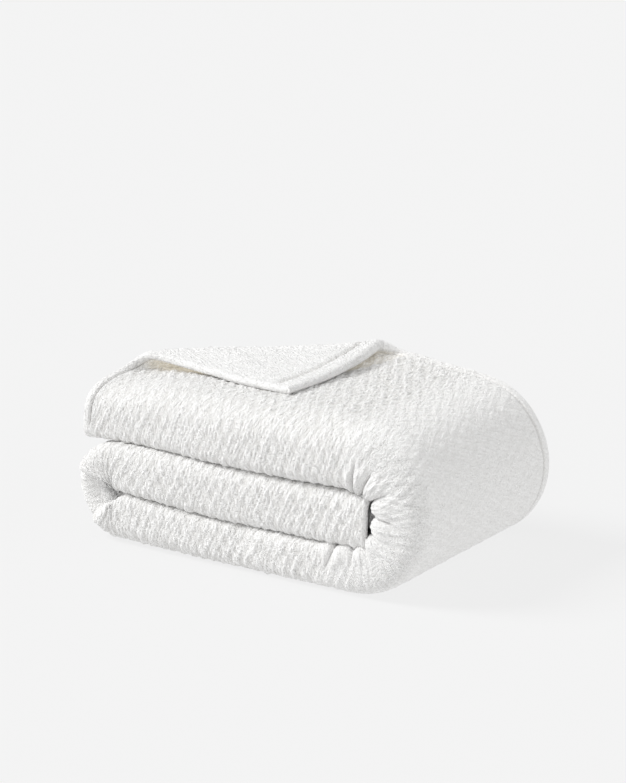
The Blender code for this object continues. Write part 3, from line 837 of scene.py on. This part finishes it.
class Finish:
    """A new material and its nodes."""

    def __init__(self, name):
        self.material = bpy.data.materials.new(name)
        self.material.use_nodes = True
        self.tree = self.material.node_tree
        self.shader = self.tree.nodes["Principled BSDF"]

    def node(self, kind, settings, sockets, output=0):
        """Adds a node of a kind, sets its settings, then gives its sockets their values or links."""
        node = self.tree.nodes.new(kind)
        for name, value in settings.items():
            setattr(node, name, value)
        for name, value in sockets.items():
            self.put(node.inputs[name], value)
        return Value(self.tree, node.outputs[output])

    def put(self, socket, value):
        """Links a value to a socket, or sets the socket to a number or colour."""
        if isinstance(value, Value):
            self.tree.links.new(value.socket, socket)
        else:
            socket.default_value = value

    def noise(self, place, scale, detail, stretch=(1.0, 1.0, 1.0)):
        """Even noise from 0 to 1, with so many grains to a metre, stretched along an axis."""
        spread = self.node("ShaderNodeVectorMath", {"operation": "MULTIPLY"}, {0: place, 1: stretch})
        sockets = {"Vector": spread, "Scale": scale, "Detail": detail}
        return self.node("ShaderNodeTexNoise", {"noise_dimensions": "3D"}, sockets)

    def mark(self, name):
        """What is marked on the cloth under a name."""
        return self.node("ShaderNodeAttribute", {"attribute_name": name}, {}, output=2)

    def mix(self, share, first, second):
        """The first colour where the share is 0, the second where it is 1."""
        sockets = {"Factor": share, 6: first, 7: second}
        return self.node("ShaderNodeMix", {"data_type": "RGBA"}, sockets, output=2)

    def bump(self, height, distance, strength, under=None):
        """A Bump node over a height from 0 to 1 that stands for the distance in metres."""
        sockets = {"Height": height, "Distance": distance, "Strength": strength}
        if under is not None:
            sockets["Normal"] = under
        return self.node("ShaderNodeBump", {}, sockets)


WHITE = (0.965, 0.962, 0.955, 1.0)
SHADE_WHITE = (0.70, 0.69, 0.67, 1.0)
# painted shade: the colour that the valleys between the puffs and the stitched grooves darken towards
VALLEY_SHADE = (0.52, 0.505, 0.475, 1.0)
PAINTED_GLOW_COLOUR = (0.20, 0.18, 0.14, 1.0)  # painted glow, an emission that stands in for daylight through the cloth
NO_GLOW = (0.0, 0.0, 0.0, 1.0)
# Fuzz and yarn of the two faces: grains to a metre, and height of the bump
PUFFED_FUZZ, PUFFED_YARN = (520.0, 2.2 * MM), (420.0, 2.0 * MM)
PLAIN_FUZZ, PLAIN_YARN = (430.0, 3.0 * MM), (700.0, 1.5 * MM)
FUZZ_DETAIL, YARN_DETAIL, YARN_STRETCH = 3.0, 2.0, (1.0, 0.62, 1.0)
PATCHES, PATCH_DETAIL = 14.0, 2.0  # slow changes of white: patches to a metre
# How much patches, fuzz and yarn change the white, how near to it each face is, how dark the painted shade in
# its valleys is
PATCH_TONE, FUZZ_TONE, YARN_TONE = 0.1, 1.7, 1.5
PUFFED_TONE, PLAIN_TONE = 0.82, 0.92
PUFFED_VALLEY_SHADE, PLAIN_VALLEY_SHADE = 0.42, 0.75
# The stitches in the groove: length of one, half their width, height and strength of their bump
STITCH, STITCH_WIDTH, STITCH_HEIGHT, STITCH_STRENGTH = 4.2 * MM, 0.9 * MM, 0.8 * MM, 0.8
COTTON = {"Roughness": 0.92, "Sheen Weight": 0.25, "Sheen Roughness": 0.6, "Specular IOR Level": 0.2}


def stitches(finish, place):
    """A line of stitches beside the hem, from 0 to 1."""
    parts = finish.tree.nodes.new("ShaderNodeSeparateXYZ")
    finish.tree.links.new(place.socket, parts.inputs[0])
    u, v = (Value(finish.tree, parts.outputs[k]) for k in (0, 1))
    off = (v - BAND * MM) / STITCH_WIDTH
    line = (off * off * -1.0).math("EXPONENT")
    return line * ((u * (2 * math.pi / STITCH)).math("SINE") * 0.5 + 0.5)


def cotton(name, fuzz, yarn, puffed):
    """White cotton: soft fuzz and yarn over each other as bump, with a slight change of white over them.

    The puffed face has painted shade down between its puffs and is calmer where it is tight; the plain face
    has a line of stitches beside its hem, with painted shade in its groove.
    """
    finish = Finish(name)
    place = finish.node("ShaderNodeUVMap", {"uv_map": "cloth"}, {})
    body = finish.node("ShaderNodeTexCoord", {}, {}, output=3)
    grain = finish.noise(body, fuzz[0], FUZZ_DETAIL)
    along = finish.noise(place, yarn[0], YARN_DETAIL, YARN_STRETCH)
    patches = finish.noise(body, PATCHES, PATCH_DETAIL)
    if puffed:
        grain = (grain - 0.5) * finish.mark("fuzz") + 0.5
        along = (along - 0.5) * finish.mark("yarn") + 0.5
    tone = patches * PATCH_TONE + (grain - 0.5) * FUZZ_TONE + (along - 0.5) * YARN_TONE
    colour = finish.mix(tone + (PUFFED_TONE if puffed else PLAIN_TONE), SHADE_WHITE, WHITE)
    # painted shade: the colour is darkened down in the valleys between the puffs and in the stitched grooves,
    # where shade falls
    deep = finish.mark("valley_shade") * (PUFFED_VALLEY_SHADE if puffed else PLAIN_VALLEY_SHADE)
    finish.put(finish.shader.inputs["Base Color"], finish.mix(deep, colour, VALLEY_SHADE))
    normal = finish.bump(grain, fuzz[1], 1.0)
    normal = finish.bump(along, yarn[1], 1.0, normal)
    if puffed:
        # painted light: an emission inside the turned corner's hollow stands in for daylight through the
        # cloth
        finish.put(finish.shader.inputs["Emission Color"], finish.mix(finish.mark("painted_glow"), NO_GLOW, PAINTED_GLOW_COLOUR))
        finish.put(finish.shader.inputs["Emission Strength"], 1.0)
    else:
        normal = finish.bump(stitches(finish, place), STITCH_HEIGHT, STITCH_STRENGTH, normal)
    finish.put(finish.shader.inputs["Normal"], normal)
    for socket, value in COTTON.items():
        finish.put(finish.shader.inputs[socket], value)
    return finish.material


# One row for each sheet: name, first and last stretch, whether its outer leg shows
SHEETS = (
    ("blanket_middle", 0, 1, False),
    ("blanket_bend", 1, 2, True),
    ("blanket_bottom", 2, 3, False),
    ("blanket_wrap", 3, 4, True),
    ("blanket_top", 4, 5, True),
    ("blanket_corner", 5, 6, True),
)
# On a hidden leg, up to this t, only every so many columns are kept past its hem
HIDDEN_LEG, HIDDEN_STEP, HEM_COLUMNS = 0.9, 7, 17
INNER_STEP = 2  # of the fine rows, the inner plies keep one in so many


def make_blanket():
    """All sheets of the blanket, each attached to the root body in place of the hidden blanket part; their
    flat sizes are measured but not used.
    """
    puffed = cotton("puffed_cotton", PUFFED_FUZZ, PUFFED_YARN, True)
    plain = cotton("plain_cotton", PLAIN_FUZZ, PLAIN_YARN, False)
    ss, us = along_strip()
    pieces = []

    tt = across_strip(0, OUTER_RUNS)
    faces, cloth = sheet_faces(ss, us, tt)
    for name, first, last, shows in SHEETS:
        rows = np.flatnonzero((ss >= first) & (ss <= last))
        columns = np.arange(len(tt))
        if not shows:
            kept = (tt > HIDDEN_LEG) | (columns < HEM_COLUMNS) | (columns % HIDDEN_STEP == 0)
            columns = columns[kept]
        pick = np.ix_(rows, columns)
        part = [(face[pick], normal[pick]) for face, normal in faces]
        flat = cloth[pick]
        piece = sheet_object(name, part, flat, (first == 0, last == END, True, False))
        pieces.append((piece, np.ptp(flat[..., 0]), float(np.median(np.ptp(flat[..., 1], axis=1)))))

    tt = across_strip(OUTER_RUNS, len(RUNS))
    rows = np.unique(np.concatenate((np.arange(0, len(ss), INNER_STEP), [len(ss) - 1])))
    faces, cloth = sheet_faces(ss[rows], us[rows], tt)
    piece = sheet_object("blanket_inner_plies", faces, cloth, (True, True, False, True))
    pieces.append((piece, np.ptp(cloth[..., 0]), float(np.median(np.ptp(cloth[..., 1], axis=1)))))

    for piece, length, width in pieces:
        piece.data.materials.append(puffed)
        piece.data.materials.append(plain)
        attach(piece, "root")
        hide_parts("blanket")


# One row for each light: name, strength, how wide it is, its turn
LIGHTS = (
    ("key", 2.3, 24, (47, 0, -62)),
    ("side", 0.36, 60, (62, 0, 100)),
    ("fill", 0.28, 60, (66, 0, 0)),
)

FLOOR_REACH = 30.0  # in metres, as the camera's place is
FLOOR_GREY, FLOOR_GLOW, SKY_GLOW = 0.11, 0.771, 0.6  # the floor's grey and glow, and the sky's strength
CAMERA_PLACE = (1.4802, -2.1926, 0.882)
CAMERA_DOWN, CAMERA_ROUND = 14.65, 33.94  # the angles it is turned down and round
SENSOR, LENS, CAMERA_FAR = 24.0, 85.0, 100.0


def make_floor():
    """The pale floor."""
    mesh = bpy.data.meshes.new("floor")
    far = FLOOR_REACH
    mesh.from_pydata([(-far, -far, 0), (far, -far, 0), (far, far, 0), (-far, far, 0)], [], [(0, 1, 2, 3)])
    floor = bpy.data.objects.new("floor", mesh)
    bpy.context.scene.collection.objects.link(floor)
    finish = Finish("pale_floor")
    finish.put(finish.shader.inputs["Base Color"], (FLOOR_GREY, FLOOR_GREY, FLOOR_GREY, 1.0))
    finish.put(finish.shader.inputs["Roughness"], 1.0)
    finish.put(finish.shader.inputs["Specular IOR Level"], 0.0)
    finish.put(finish.shader.inputs["Emission Color"], (1.0, 1.0, 1.0, 1.0))
    finish.put(finish.shader.inputs["Emission Strength"], FLOOR_GLOW)
    mesh.materials.append(finish.material)


def make_lights():
    """The sky and the lights."""
    world = bpy.data.worlds.new("studio")
    world.use_nodes = True
    sky = world.node_tree.nodes["Background"].inputs
    sky["Color"].default_value = (1.0, 1.0, 1.0, 1.0)
    sky["Strength"].default_value = SKY_GLOW
    bpy.context.scene.world = world
    for name, energy, size, turn in LIGHTS:
        light = bpy.data.lights.new(name, "SUN")
        light.energy = energy
        light.angle = math.radians(size)
        lamp = bpy.data.objects.new(name, light)
        lamp.rotation_euler = [math.radians(angle) for angle in turn]
        bpy.context.scene.collection.objects.link(lamp)


def make_camera():
    """The camera, from the front right and a little above."""
    lens = bpy.data.cameras.new("camera")
    lens.sensor_fit = "HORIZONTAL"
    lens.sensor_width = SENSOR
    lens.lens = LENS
    lens.clip_end = CAMERA_FAR
    camera = bpy.data.objects.new("camera", lens)
    camera.location = CAMERA_PLACE
    camera.rotation_euler = (math.radians(90 - CAMERA_DOWN), 0.0, math.radians(CAMERA_ROUND))
    bpy.context.scene.collection.objects.link(camera)
    bpy.context.scene.camera = camera
    bpy.context.scene.view_settings.view_transform = "Standard"


make_blanket()
make_floor()
make_lights()
make_camera()

bpy.context.view_layer.update()
